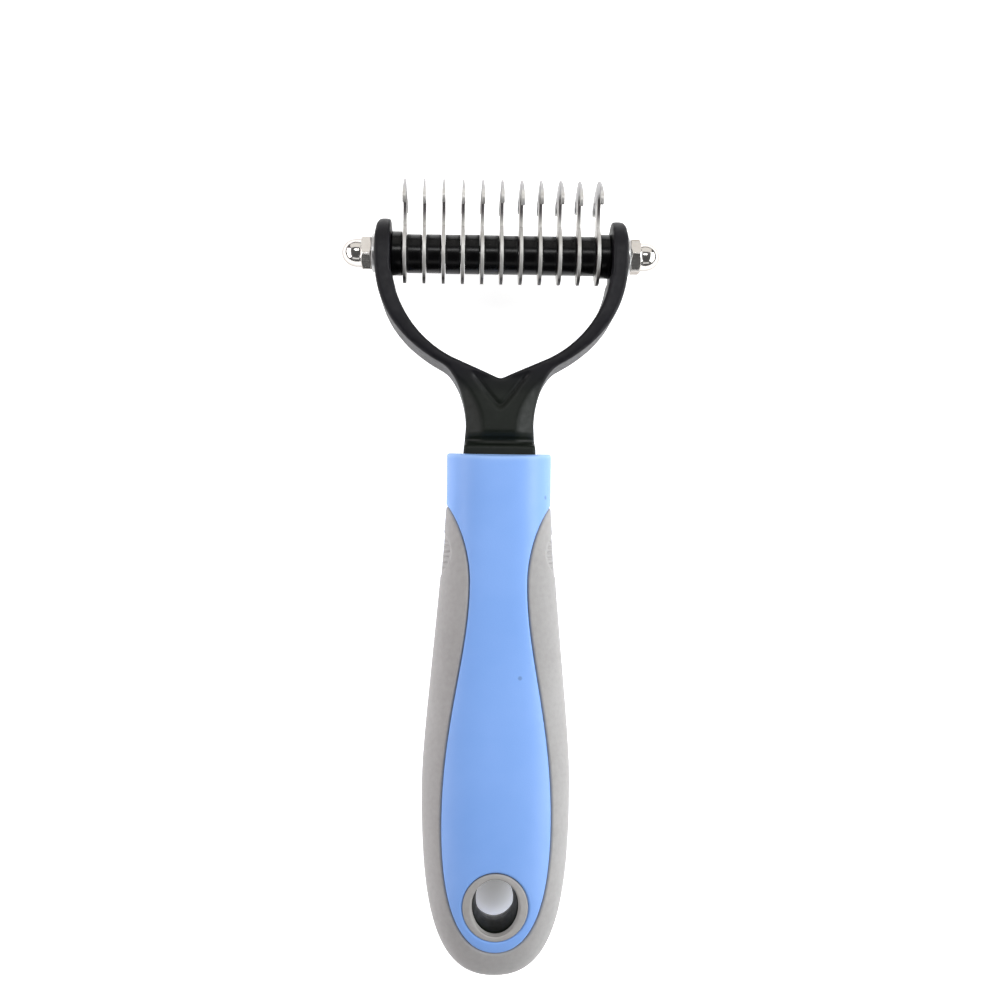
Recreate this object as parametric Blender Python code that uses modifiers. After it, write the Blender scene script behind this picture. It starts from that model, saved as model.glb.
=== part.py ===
"""Small dematting comb: a row of hooked steel blades clamped in a fork on a two-tone moulded handle.

Metres, +Z up. The comb lies on its back: +Y runs from the butt of the handle to the blades, +X to the
right seen from the front, +Z out of the front face. The origin is the middle of the bounding box's base.
Outlines are drawn in the comb's plane and measured from the axle, so a place on the handle has a
negative y. Every piece is a solid of its own, and neighbours keep a small gap.
"""

import math

import bmesh
import bpy
from mathutils import Matrix, Vector

# Gaps between neighbouring pieces, and the distance at which a mesh's points are one
MOULD_GAP = 0.0003
STACK_GAP = 0.0001
WELD = 0.000005
SHARP_ANGLE = math.radians(30)

# Thickness of the flat cutters that reach through the whole handle
CUT_THROUGH = 0.040

# Blades and the axle stack
BLADE_COUNT = 11
BLADE_PITCH = 0.00425
BLADE_THICKNESS = 0.0009
BLADE_RADIUS = 0.0160
HUB_RADIUS = 0.0064
SHANK_HALF = 0.0023
GULLET_RADIUS = 0.0034
GULLET_CENTRE = (0.0057, 0.0090)
GULLET_END = 20
HOOK_TIP_RADIUS = 0.0013
HOOK_TIP_ANGLE = math.radians(41)
HOOK_TIP_ARC = (-160, 45)
CROWN_START = 52
BLADE_TILT = math.radians(8)
BLADE_SWAY = math.radians(1.5)
SWAY_STEP = 2.3
ROD_RADIUS = 0.0020
ROD_HALF = 0.0324
BORE_RADIUS = ROD_RADIUS + STACK_GAP
SPACER_RADIUS = 0.0043
END_SPACER_RADIUS = 0.0048

# Cap nuts and washers
NUT_FLATS = 0.0070
NUT_CORNER = NUT_FLATS / math.sqrt(3)
NUT_SPARE = 0.0001
NUT_HEX = 0.0022
NUT_LENGTH = 0.0066
DOME_RADIUS = 0.00275
DOME_ROUND = 0.0022
NUT_CONE = 0.0005
NUT_CHAMFER = 0.0005
NUT_BORE_DEPTH = 0.0052
LEFT_NUT_TURN = math.radians(13)
WASHER_RADIUS = 0.0042
WASHER_THICKNESS = 0.0007

# Fork: points of its front outline are (x, y), and those of its side outline (depth, y)
ARM_INNER = 0.0242
ARM_OUTER = 0.0276
ARM_ARC = (-70, -8)
ARM_STEP = 0.0002
BOSS_RADIUS = 0.0075
BOSS_CORNER = (ARM_OUTER - 0.0009, BOSS_RADIUS)
BOSS_SHOULDER = (ARM_OUTER, 0.0030)
ARM_CENTRE_Y = -0.0020
V_ROOT_Y = -0.0281
NECK_HALF = 0.0074
ARM_TOP = (ARM_OUTER, ARM_CENTRE_Y)
ARM_HANDLES = ((ARM_OUTER, -0.0135), (0.0216, -0.0204))
ELBOW = (0.0126, -0.0252)
NECK_HANDLES = ((0.0096, -0.0270), (NECK_HALF, -0.0330))
NECK_TOP = (NECK_HALF, -0.0385)
NECK_DEPTH = 0.0062
ARM_SIDE = [(BOSS_RADIUS, -0.0140), (0.0068, -0.0240), (NECK_DEPTH, -0.0310)]
TANG_TOP_HALF = 0.0079
TANG_HALF = 0.0045
TANG_DEPTH = 0.0030
TANG_SHOULDER = 0.0100
TANG_TAPER = 0.0120
TANG_STEP = 0.0050
EYE_DEPTH = 0.0072
EYE_HALF = (0.0071, 0.0079)
EYE_SPARE = 0.0010
EYE_RAMP = 0.0020
EYE_HOLE_HALF = (0.00415, 0.0051)

# Handle: its outline's points are (distance from the collar's end, half width)
COLLAR_Y = -0.0441
COLLAR_HEIGHT = 0.0113
HANDLE_LENGTH = 0.1149
COLLAR_HALF = 0.0115
BELLY_HALF = 0.0163
BELLY_AT = 0.0730
SIDE_HANDLES = ((0.0420, 0.0136), (0.0620, BELLY_HALF))
BUTT_HANDLE_AT = 0.1015
BUTT_HANDLE_HALF = 0.0125
BUTT_END_HALF = 0.0006
COLLAR_FLATNESS = 0.80
BELLY_FLATNESS = 0.72
SECTION_POWER = 2.4
SECTION_SIDES = 36
THINNEST_CORE = (0.0005, 0.0004)
GRIP_SKIN = 0.0024
GRIP_START = 0.0060
HOLE_AT = 0.0980
BEZEL_HALF = (0.00705, 0.00755)
BEZEL_TOP = 0.0120
BEZEL_MOUTH_DEPTH = 0.0102
BEZEL_MOUTH_HALF = (0.0052, 0.0063)
BEZEL_THROAT_HALF = (0.0050, 0.0061)

# Blue panel: points of its outline, as on the handle
PANEL_ABOVE = -0.0030
PANEL_BEYOND = 0.0150
PANEL_EDGE = (0.0080, PANEL_BEYOND)
PANEL_SHOULDER = (0.0110, 0.0119)
PANEL_NECK_HANDLE = (0.0190, 0.0060)
PANEL_WAIST = (0.0288, 0.0063)
PANEL_FOOT = (0.0800, 0.01195)
PANEL_END_AT = 0.1083
PANEL_END_HANDLE = 0.0055
WAIST_HANDLES_AT = (0.0280, 0.0440)
FOOT_HANDLES_AT = (0.0580, 0.1030)

# Thumb ribs: grooves across both sides, with their depths from the top down
RIB_DEPTHS = (0.0004, 0.0005, 0.0006, 0.0007, 0.0006, 0.0005, 0.0004)
RIB_START = 0.0187
RIB_PITCH = 0.0012
RIB_SIZE = (0.0080, 0.0005, 0.0200)
SIDE_SLOPE = 0.080

# Place of the axle in the comb's frame
TOTAL_LENGTH = BLADE_RADIUS - COLLAR_Y + HANDLE_LENGTH
AXLE = Vector((0, TOTAL_LENGTH / 2 - BLADE_RADIUS, BELLY_HALF * BELLY_FLATNESS))
AT_AXLE = Matrix.Translation(AXLE)
HOLE_Y = COLLAR_Y - HOLE_AT


def new_collection(name):
    collection = bpy.data.collections.new(name)
    bpy.context.scene.collection.children.link(collection)
    return collection


for old in list(bpy.data.objects):
    bpy.data.objects.remove(old, do_unlink=True)
PARTS = new_collection("dematting_comb")
CUTTERS = new_collection("cutters")


def make_material(name, colour, roughness, metallic=0.0):
    material = bpy.data.materials.new(name)
    material.use_nodes = True
    shader = material.node_tree.nodes["Principled BSDF"]
    shader.inputs["Base Color"].default_value = (*colour, 1.0)
    shader.inputs["Roughness"].default_value = roughness
    shader.inputs["Metallic"].default_value = metallic
    return material


# --- Outlines: lists of (x, y) -----------------------------------------------------------------


def arc(centre, radius, start, end, steps):
    """Points of a circle's arc between two angles in degrees, both ends included."""
    angles = [math.radians(start + (end - start) * i / steps) for i in range(steps + 1)]
    return [(centre[0] + radius * math.cos(a), centre[1] + radius * math.sin(a)) for a in angles]


def ellipse(centre, halves, start=0.0, end=360.0, steps=24):
    """Points of an ellipse; a full turn leaves out its last point, which is the first again."""
    last = steps if end - start == 360.0 else steps + 1
    angles = [math.radians(start + (end - start) * i / steps) for i in range(last)]
    return [(centre[0] + halves[0] * math.cos(a), centre[1] + halves[1] * math.sin(a)) for a in angles]


def bezier(p0, p1, p2, p3, steps):
    """Points of a cubic curve, without its first point, so that stretches can be chained."""
    points = []
    for i in range(1, steps + 1):
        u = i / steps
        weights = ((1 - u) ** 3, 3 * u * (1 - u) ** 2, 3 * u * u * (1 - u), u ** 3)
        points.append(tuple(sum(w * p[k] for w, p in zip(weights, (p0, p1, p2, p3))) for k in (0, 1)))
    return points


def mirrored(half):
    """Closed outline from its right half, whose end points may lie on the middle line."""
    return half + [(-x, y) for x, y in reversed(half) if x > 1e-7]


def offset(outline, distance):
    """Outline moved outwards by a distance."""
    area = sum(a[0] * b[1] - b[0] * a[1] for a, b in zip(outline, outline[1:] + outline[:1]))
    side = math.copysign(distance, area)
    moved = []
    for i, point in enumerate(outline):
        before = (Vector(point) - Vector(outline[i - 1])).normalized()
        after = (Vector(outline[(i + 1) % len(outline)]) - Vector(point)).normalized()
        normals = [Vector((d.y, -d.x)) for d in (before, after)]
        bisector = (normals[0] + normals[1]).normalized()
        moved.append(tuple(Vector(point) + bisector * side / max(bisector.dot(normals[0]), 0.3)))
    return moved


# --- Solids ------------------------------------------------------------------------------------


def add_object(name, mesh, collection, material=None):
    thing = bpy.data.objects.new(name, mesh)
    collection.objects.link(thing)
    if material:
        mesh.materials.clear()
        mesh.materials.append(material)
        mesh.shade_smooth()
        mesh.set_sharp_from_angle(angle=SHARP_ANGLE)
    else:
        thing.hide_render = True
        thing.display_type = 'WIRE'
    return thing


def bake(source):
    """Mesh of an object as its modifiers or curve settings make it; the object is removed."""
    bpy.context.view_layer.update()
    evaluated = source.evaluated_get(bpy.context.evaluated_depsgraph_get())
    mesh = bpy.data.meshes.new_from_object(evaluated)
    bpy.data.objects.remove(source, do_unlink=True)
    welded = bmesh.new()
    welded.from_mesh(mesh)
    bmesh.ops.remove_doubles(welded, verts=welded.verts, dist=WELD)
    bmesh.ops.recalc_face_normals(welded, faces=welded.faces)
    welded.to_mesh(mesh)
    welded.free()
    return mesh


def plate(outlines, thickness):
    """Flat solid in the XY plane, centred on z = 0; inner outlines are holes."""
    curve = bpy.data.curves.new("outline", 'CURVE')
    curve.dimensions = '2D'
    curve.fill_mode = 'BOTH'
    curve.extrude = thickness / 2
    for outline in outlines:
        spline = curve.splines.new('POLY')
        spline.points.add(len(outline) - 1)
        for point, (x, y) in zip(spline.points, outline):
            point.co = (x, y, 0, 1)
        spline.use_cyclic_u = True
    return bake(add_object("outline", curve, CUTTERS))


def turned(profile, closed, steps=24):
    """Solid of revolution about Z; the profile of (radius, z) runs down its outer side."""
    mesh = bpy.data.meshes.new("profile")
    edges = [(i, i + 1) for i in range(len(profile) - 1)]
    if closed:
        edges.append((len(profile) - 1, 0))
    mesh.from_pydata([(r, 0, z) for r, z in profile], edges, [])
    source = add_object("profile", mesh, CUTTERS)
    screw = source.modifiers.new("turn", 'SCREW')
    screw.steps = steps
    screw.render_steps = steps
    screw.use_merge_vertices = True
    screw.merge_threshold = WELD
    return bake(source)


def loft(rings):
    """Solid through rings of points with one count, closed by a flat face at each end."""
    solid = bmesh.new()
    loops = [[solid.verts.new(point) for point in ring] for ring in rings]
    for first, second in zip(loops, loops[1:]):
        for i in range(len(first)):
            solid.faces.new((first[i - 1], first[i], second[i], second[i - 1]))
    solid.faces.new(loops[0])
    solid.faces.new(loops[-1])
    bmesh.ops.recalc_face_normals(solid, faces=solid.faces)
    mesh = bpy.data.meshes.new("loft")
    solid.to_mesh(mesh)
    solid.free()
    return mesh


def boolean(target, operation, mesh, matrix=Matrix()):
    """Cut, keep or join a target with a solid that stays among the cutters."""
    tool = add_object(f"{target.name}_{operation.lower()}_{len(target.modifiers)}", mesh, CUTTERS)
    tool.matrix_world = matrix
    modifier = target.modifiers.new(operation.lower(), 'BOOLEAN')
    modifier.operation = operation
    modifier.object = tool


ALONG_X = Matrix.Rotation(math.pi / 2, 4, 'Y')
ALONG_MINUS_X = Matrix.Rotation(-math.pi / 2, 4, 'Y')
# Stands an outline drawn as (depth, y) on the comb's plane, with its x along +Z
ON_EDGE = Matrix.Rotation(-math.pi / 2, 4, 'Y')


# --- Blades ------------------------------------------------------------------------------------


def blade_outline():
    """Half outline as (depth, height): hub, shank, gullet, blunt hook and round back."""
    hub_end = math.degrees(math.acos(SHANK_HALF / HUB_RADIUS))
    half = arc((0, 0), HUB_RADIUS, -90, hub_end, 8)
    half += arc(GULLET_CENTRE, GULLET_RADIUS, 180, GULLET_END, 7)
    tip_reach = BLADE_RADIUS - HOOK_TIP_RADIUS
    tip = (tip_reach * math.sin(HOOK_TIP_ANGLE), tip_reach * math.cos(HOOK_TIP_ANGLE))
    half += arc(tip, HOOK_TIP_RADIUS, *HOOK_TIP_ARC, 6)
    half += arc((0, 0), BLADE_RADIUS, CROWN_START, 90, 6)
    return mirrored(half)


def blade_sway(index):
    """Small lean of one blade, since the clamped blades never line up exactly."""
    return BLADE_SWAY * math.sin(SWAY_STEP * index)


def add_blades(stack, material):
    bore = ellipse((0, 0), (BORE_RADIUS, BORE_RADIUS), steps=16)
    mesh = plate([blade_outline(), bore], BLADE_THICKNESS)
    for index in range(BLADE_COUNT):
        blade = add_object(f"blade_{index + 1:02d}", mesh, PARTS, material)
        blade.parent = stack
        x = (index - (BLADE_COUNT - 1) / 2) * BLADE_PITCH
        lean = Matrix.Rotation(BLADE_TILT + blade_sway(index), 4, 'X')
        blade.matrix_local = Matrix.Translation((x, 0, 0)) @ lean @ ON_EDGE


# --- Rod, spacers, washers and nuts -------------------------------------------------------------


def tube_profile(outer, inner, length):
    half = length / 2
    return [(outer, half), (outer, -half), (inner, -half), (inner, half)]


def add_turned(name, mesh, x, stack, material, direction=ALONG_X):
    piece = add_object(name, mesh, PARTS, material)
    piece.parent = stack
    piece.matrix_local = Matrix.Translation((x, 0, 0)) @ direction
    return piece


def add_stack(stack):
    steel = make_material("rod_steel", (0.55, 0.55, 0.56), 0.35, 1.0)
    rod = turned([(0, ROD_HALF), (ROD_RADIUS, ROD_HALF), (ROD_RADIUS, -ROD_HALF), (0, -ROD_HALF)], False)
    add_turned("axle_rod", rod, 0, stack, steel)

    black = make_material("spacer_black", (0.012, 0.012, 0.013), 0.28)
    length = BLADE_PITCH - BLADE_THICKNESS - 2 * STACK_GAP
    spacer = turned(tube_profile(SPACER_RADIUS, BORE_RADIUS, length), True)
    for index in range(BLADE_COUNT - 1):
        x = (index + 1 - BLADE_COUNT / 2) * BLADE_PITCH
        add_turned(f"spacer_{index + 1:02d}", spacer, x, stack, black)

    last_blade = (BLADE_COUNT - 1) / 2 * BLADE_PITCH + BLADE_THICKNESS / 2
    room = ARM_INNER - last_blade
    end_spacer = turned(tube_profile(END_SPACER_RADIUS, BORE_RADIUS, room - 2 * STACK_GAP), True)
    for name, sign in (("spacer_end_left", -1), ("spacer_end_right", 1)):
        add_turned(name, end_spacer, sign * (last_blade + room / 2), stack, black)


def nut_mesh():
    """Hexagon with a domed cap, z = 0 at its seat, with a blind bore from the seat."""
    dome = ellipse((0, NUT_LENGTH - DOME_ROUND), (DOME_RADIUS, DOME_ROUND), 90, 0, 6)
    corner = NUT_CORNER + NUT_SPARE
    skirt = [(DOME_RADIUS, NUT_HEX + NUT_CONE), (corner - 2 * NUT_CHAMFER, NUT_HEX),
             (corner, NUT_HEX - NUT_CHAMFER), (corner, NUT_CHAMFER), (corner - NUT_CHAMFER, 0), (0, 0)]
    envelope = turned([(0, NUT_LENGTH)] + dome[1:] + skirt, False)
    nut = add_object("nut", envelope, CUTTERS)
    hexagon = ellipse((0, 0), (NUT_CORNER, NUT_CORNER), steps=6)
    boolean(nut, 'INTERSECT', plate([hexagon], 4 * NUT_LENGTH))
    bore = ellipse((0, 0), (BORE_RADIUS, BORE_RADIUS), steps=16)
    boolean(nut, 'DIFFERENCE', plate([bore], 2 * NUT_BORE_DEPTH))
    return bake(nut)


def add_fasteners(stack):
    steel = make_material("washer_steel", (0.62, 0.62, 0.63), 0.32, 1.0)
    chrome = make_material("nut_chrome", (0.80, 0.79, 0.77), 0.12, 1.0)
    washer = turned(tube_profile(WASHER_RADIUS, BORE_RADIUS, WASHER_THICKNESS), True)
    nut = nut_mesh()
    washer_x = ARM_OUTER + STACK_GAP + WASHER_THICKNESS / 2
    nut_x = washer_x + WASHER_THICKNESS / 2 + STACK_GAP
    left_turned = Matrix.Rotation(LEFT_NUT_TURN, 4, 'X') @ ALONG_MINUS_X
    for side, sign, direction in (("left", -1, left_turned), ("right", 1, ALONG_X)):
        add_turned(f"washer_{side}", washer, sign * washer_x, stack, steel)
        add_turned(f"cap_nut_{side}", nut, sign * nut_x, stack, chrome, direction)


# --- Fork: yoke, neck, tang and eye in one moulding ---------------------------------------------


def tang_half(top):
    """Right half of the tang's outline, from a height down to the bottom of the eye."""
    shoulder = COLLAR_Y - TANG_SHOULDER
    eye_meet = math.degrees(math.acos(TANG_HALF / EYE_HALF[0]))
    half = [(TANG_TOP_HALF, top), (TANG_TOP_HALF, shoulder), (TANG_HALF, shoulder - TANG_TAPER)]
    return half + ellipse((0, HOLE_Y), EYE_HALF, eye_meet, -90, 12)


def fork_half():
    """Right half of the fork's front outline, from the V root up the arm and down its outside."""
    half = [(0, V_ROOT_Y)]
    half += arc((0, ARM_CENTRE_Y), ARM_INNER - ARM_STEP, *ARM_ARC, 12)
    half += [(ARM_INNER, -END_SPACER_RADIUS - ARM_STEP), (ARM_INNER, BOSS_RADIUS)]
    half += [BOSS_CORNER, BOSS_SHOULDER, ARM_TOP]
    half += bezier(ARM_TOP, *ARM_HANDLES, ELBOW, 12)
    half += bezier(ELBOW, *NECK_HANDLES, NECK_TOP, 7)
    return half + tang_half(COLLAR_Y)


def side_outline():
    """Fork seen from the side, as (depth, y): round bosses, neck, thin tang and thicker eye."""
    half = [(0, BOSS_RADIUS)] + arc((0, 0), BOSS_RADIUS, 75, 0, 5)
    half += ARM_SIDE
    shoulder = COLLAR_Y - TANG_SHOULDER
    half += [(NECK_DEPTH, shoulder), (TANG_DEPTH, shoulder - TANG_STEP)]
    eye_reach = EYE_HALF[1] + EYE_SPARE
    half += [(TANG_DEPTH, HOLE_Y + eye_reach + EYE_RAMP)]
    half += [(EYE_DEPTH, HOLE_Y + eye_reach), (EYE_DEPTH, HOLE_Y - eye_reach)]
    return mirrored(half)


def add_fork():
    nylon = make_material("fork_nylon", (0.014, 0.015, 0.017), 0.42)
    hole = ellipse((0, HOLE_Y), EYE_HOLE_HALF, steps=20)
    fork = add_object("fork", plate([mirrored(fork_half()), hole], 4 * BOSS_RADIUS), PARTS, nylon)
    fork.matrix_world = AT_AXLE
    boolean(fork, 'INTERSECT', plate([side_outline()], 4 * ARM_OUTER), AT_AXLE @ ON_EDGE)
    bore = ellipse((0, 0), (BORE_RADIUS, BORE_RADIUS), steps=24)
    boolean(fork, 'DIFFERENCE', plate([bore], 4 * ARM_OUTER), AT_AXLE @ ALONG_X)


# --- Handle ------------------------------------------------------------------------------------


def handle_outline(length):
    """(distance from the collar's end, half width) down the handle's side."""
    belly = (BELLY_AT, BELLY_HALF)
    stations = [(0.0, COLLAR_HALF), (GRIP_START, COLLAR_HALF), (COLLAR_HEIGHT, COLLAR_HALF)]
    stations += bezier(stations[-1], *SIDE_HANDLES, belly, 9)
    end = (length, 0.0)
    butt = bezier(belly, (BUTT_HANDLE_AT, BELLY_HALF), (length, BUTT_HANDLE_HALF), end, 14)
    return stations + butt[:-1] + [(length, BUTT_END_HALF)]


def flatness(distance):
    """Depth over width: nearly round at the collar, flatter from the belly down."""
    share = min(distance / BELLY_AT, 1.0)
    return COLLAR_FLATNESS + (BELLY_FLATNESS - COLLAR_FLATNESS) * share * share * (3 - 2 * share)


def handle_mesh(inset=0.0, start=0.0):
    """The handle's whole shape, or that shape moved in by an inset and begun further down."""
    rings = []
    for distance, half_width in handle_outline(HANDLE_LENGTH - inset):
        if distance < start:
            continue
        half_depth = half_width * flatness(distance)
        if inset:
            half_width = max(half_width - inset, THINNEST_CORE[0])
            half_depth = max(half_depth - inset, THINNEST_CORE[1])
        ring = []
        for i in range(SECTION_SIDES):
            angle = 2 * math.pi * i / SECTION_SIDES
            c, s = math.cos(angle), math.sin(angle)
            x = half_width * math.copysign(abs(c) ** (2 / SECTION_POWER), c)
            z = half_depth * math.copysign(abs(s) ** (2 / SECTION_POWER), s)
            ring.append((x, COLLAR_Y - distance, z))
        rings.append(ring)
    return loft(rings)


def panel_outline():
    """Blue area seen from the front: full collar, narrow waist and round foot."""
    waist, foot = PANEL_WAIST[1], PANEL_FOOT[1]
    half = [(PANEL_ABOVE, 0.0), (PANEL_ABOVE, PANEL_BEYOND), PANEL_EDGE, PANEL_SHOULDER]
    half += bezier(PANEL_SHOULDER, PANEL_NECK_HANDLE, (WAIST_HANDLES_AT[0], waist), PANEL_WAIST, 7)
    half += bezier(PANEL_WAIST, (WAIST_HANDLES_AT[1], waist), (FOOT_HANDLES_AT[0], foot), PANEL_FOOT, 8)
    end = (PANEL_END_AT, 0.0)
    half += bezier(PANEL_FOOT, (FOOT_HANDLES_AT[1], foot), (PANEL_END_AT, PANEL_END_HANDLE), end, 9)
    return mirrored([(half_width, COLLAR_Y - distance) for distance, half_width in half])


def taper_cutter(top):
    """Bezel's opening: an ellipse that widens from the throat to the mouth and on past it."""
    grow = (top - EYE_DEPTH) / (BEZEL_MOUTH_DEPTH - EYE_DEPTH)
    wide = [BEZEL_THROAT_HALF[k] + grow * (BEZEL_MOUTH_HALF[k] - BEZEL_THROAT_HALF[k]) for k in (0, 1)]
    narrow = [2 * BEZEL_THROAT_HALF[k] - wide[k] for k in (0, 1)]
    ends = ((narrow, 2 * EYE_DEPTH - top), (wide, top))
    return loft([[(x, y, z) for x, y in ellipse((0, HOLE_Y), halves)] for halves, z in ends])


def rib_cutter():
    """Shallow grooves across the top of both sides that leave the thumb ribs between them."""
    grooves = bmesh.new()
    size = Matrix.Diagonal((*RIB_SIZE, 1.0))
    for index, depth in enumerate(RIB_DEPTHS):
        distance = RIB_START + RIB_PITCH * index
        half_width = COLLAR_HALF + (distance - COLLAR_HEIGHT) * SIDE_SLOPE
        for sign in (-1, 1):
            x = sign * (half_width - depth + RIB_SIZE[0] / 2)
            place = Matrix.Translation((x, COLLAR_Y - distance, 0))
            bmesh.ops.create_cube(grooves, size=1.0, matrix=place @ size)
    mesh = bpy.data.meshes.new("grooves")
    grooves.to_mesh(mesh)
    grooves.free()
    return mesh


def add_core():
    blue = make_material("handle_blue", (0.22, 0.41, 0.87), 0.45)
    core = add_object("handle_core", handle_mesh(), PARTS, blue)
    core.matrix_world = AT_AXLE
    boolean(core, 'INTERSECT', plate([panel_outline()], CUT_THROUGH), AT_AXLE)
    boolean(core, 'UNION', handle_mesh(GRIP_SKIN, GRIP_START), AT_AXLE)
    front = offset(mirrored(tang_half(COLLAR_Y - PANEL_ABOVE)), MOULD_GAP)
    tang = add_object("tang_room", plate([front], CUT_THROUGH), CUTTERS)
    boolean(tang, 'INTERSECT', plate([offset(side_outline(), MOULD_GAP)], CUT_THROUGH), ON_EDGE)
    boolean(core, 'DIFFERENCE', bake(tang), AT_AXLE)
    room = [half + MOULD_GAP for half in BEZEL_HALF]
    boolean(core, 'DIFFERENCE', plate([ellipse((0, HOLE_Y), room)], CUT_THROUGH), AT_AXLE)


def add_grip():
    grey = make_material("grip_grey", (0.42, 0.41, 0.41), 0.70)
    grip = add_object("grip_overmould", handle_mesh(), PARTS, grey)
    grip.matrix_world = AT_AXLE
    boolean(grip, 'DIFFERENCE', plate([offset(panel_outline(), MOULD_GAP)], CUT_THROUGH), AT_AXLE)
    boolean(grip, 'DIFFERENCE', handle_mesh(GRIP_SKIN - MOULD_GAP, GRIP_START), AT_AXLE)
    boolean(grip, 'DIFFERENCE', rib_cutter(), AT_AXLE)


def add_bezels():
    grey = make_material("bezel_grey", (0.40, 0.39, 0.39), 0.70)
    seat = EYE_DEPTH + MOULD_GAP
    bezel = add_object("bezel", handle_mesh(), CUTTERS)
    band = Matrix.Translation((0, 0, (seat + BEZEL_TOP) / 2))
    boolean(bezel, 'INTERSECT', plate([ellipse((0, HOLE_Y), BEZEL_HALF)], BEZEL_TOP - seat), band)
    boolean(bezel, 'DIFFERENCE', taper_cutter(BEZEL_TOP))
    mesh = bake(bezel)
    front = add_object("hang_bezel_front", mesh, PARTS, grey)
    front.matrix_world = AT_AXLE
    back = add_object("hang_bezel_back", mesh, PARTS, grey)
    back.matrix_world = AT_AXLE @ Matrix.Rotation(math.pi, 4, 'Y')


def main():
    stack = bpy.data.objects.new("axle_axis", None)
    PARTS.objects.link(stack)
    stack.matrix_world = AT_AXLE
    add_fork()
    add_core()
    add_grip()
    add_bezels()
    add_stack(stack)
    add_blades(stack, make_material("blade_steel", (0.62, 0.62, 0.61), 0.25, 1.0))
    add_fasteners(stack)
    bpy.context.view_layer.update()


main()
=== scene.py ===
"""Looks of the small dematting comb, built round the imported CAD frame.

The comb lies on its back: +Y runs from the butt of the handle to the blades, +Z out of the front face.
Each visible moulding and metal part is rebuilt here with its real edges, relief and surface, at the place
and size that the frame gives. Metres throughout.
"""
import math

import bmesh
import bpy
import numpy as np
from mathutils import Matrix, Vector
from mathutils.geometry import delaunay_2d_cdt


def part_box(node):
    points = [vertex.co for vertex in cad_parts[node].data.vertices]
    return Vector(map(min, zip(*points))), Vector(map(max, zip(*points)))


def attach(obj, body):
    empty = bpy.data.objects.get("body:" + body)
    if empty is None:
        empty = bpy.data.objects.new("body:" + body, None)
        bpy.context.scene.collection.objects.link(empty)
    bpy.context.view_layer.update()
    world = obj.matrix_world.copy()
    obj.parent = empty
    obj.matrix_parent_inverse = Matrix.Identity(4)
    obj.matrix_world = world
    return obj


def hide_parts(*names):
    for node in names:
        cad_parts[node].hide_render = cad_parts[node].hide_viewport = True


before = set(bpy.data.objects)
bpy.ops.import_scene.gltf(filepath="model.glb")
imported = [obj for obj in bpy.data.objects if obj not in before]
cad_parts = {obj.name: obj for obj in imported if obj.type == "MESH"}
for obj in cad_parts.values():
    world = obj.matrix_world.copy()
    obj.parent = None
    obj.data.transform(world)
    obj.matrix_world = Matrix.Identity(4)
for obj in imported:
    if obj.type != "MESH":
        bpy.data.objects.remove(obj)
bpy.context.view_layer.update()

WELD = 0.000002
SHARP_ANGLE = math.radians(32)


def centre_of(node):
    """Middle of a CAD node's box."""
    low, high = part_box(node)
    return (low + high) / 2


AXLE = centre_of("axle_rod")
COLLAR_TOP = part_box("handle_core")[1].y
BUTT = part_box("grip_overmould")[0].y
HOLE = centre_of("hang_bezel_front")
ROD_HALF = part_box("axle_rod")[1].x
ROD_RADIUS = 0.0020
BORE_RADIUS = ROD_RADIUS + 0.0001

# Handle: distances run down from the collar's end
HANDLE_LENGTH = COLLAR_TOP - BUTT
COLLAR_HEIGHT = 0.0113
COLLAR_HALF = 0.0115
BELLY_HALF = 0.0163
BELLY_AT = 0.0730
SIDE_HANDLES = ((0.0420, 0.0136), (0.0620, BELLY_HALF))
BUTT_HANDLE_AT = 0.1015
BUTT_HANDLE_HALF = 0.0125
COLLAR_FLATNESS = 0.80
BELLY_FLATNESS = 0.72
SECTION_POWER = 2.4
SKIN = 0.0021
GROOVE = 0.00015
EDGE_ROUND = 0.00052
COLLAR_ROUND = 0.0004
# How far the collar's end falls away from its middle plane to its front and back rims
COLLAR_FALL = 0.0011

# Blue panel: (distance, half width)
PANEL_SHOULDER = (0.0110, 0.0119)
PANEL_NECK_HANDLE = (0.0190, 0.0060)
PANEL_WAIST = (0.0288, 0.0063)
PANEL_FOOT = (0.0800, 0.01195)
WAIST_HANDLES_AT = (0.0280, 0.0440)
FOOT_HANDLES_AT = (0.0580, 0.1030)
PANEL_END_AT = 0.1083
PANEL_END_HANDLE = 0.0055

# Thumb ribs: an oval patch on each side
RIB_CENTRE_AT = 0.0223
RIB_REACH = (0.0076, 0.0050)
RIB_FADE = (0.0010, 0.0032)
RIB_PITCH = 0.00118
RIB_DEPTH = 0.00042
RIB_RECESS = 0.00018

# Socket in the collar's end for the fork's neck
SOCKET_HALF = (0.0083, 0.0066)
SOCKET_DEPTH = 0.0060
SOCKET_POWER = 8
# Spacing of the points on the blue faces, the grip, the ribs and the collar's rim
SPACING = 0.0011
GRIP_SPACING = 0.0010
RIB_SPACING = 0.00021
COLLAR_SPACING = 0.0008

# Hang hole
BEZEL_HALF = (0.00705, 0.00755)
MOUTH_HALF = (0.0052, 0.0063)
THROAT_HALF = (0.0050, 0.0061)
FUNNEL_HEIGHT = 0.0092
EYE_HALF_DEPTH = 0.0072


# --- Curves and meshes --------------------------------------------------------------------------


def bezier(p0, p1, p2, p3, steps):
    """Points of a cubic curve without its first point, so that stretches can be chained."""
    u = (np.arange(1, steps + 1) / steps)[:, None]
    p0, p1, p2, p3 = (np.array(p, float) for p in (p0, p1, p2, p3))
    return (1 - u) ** 3 * p0 + 3 * u * (1 - u) ** 2 * p1 + 3 * u * u * (1 - u) * p2 + u ** 3 * p3


def arc(centre, radius, start, end, steps):
    """Points of a circle's arc between two angles in degrees, both ends included."""
    angles = np.radians(np.linspace(start, end, steps + 1))
    return [(centre[0] + radius * math.cos(a), centre[1] + radius * math.sin(a)) for a in angles]


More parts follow.
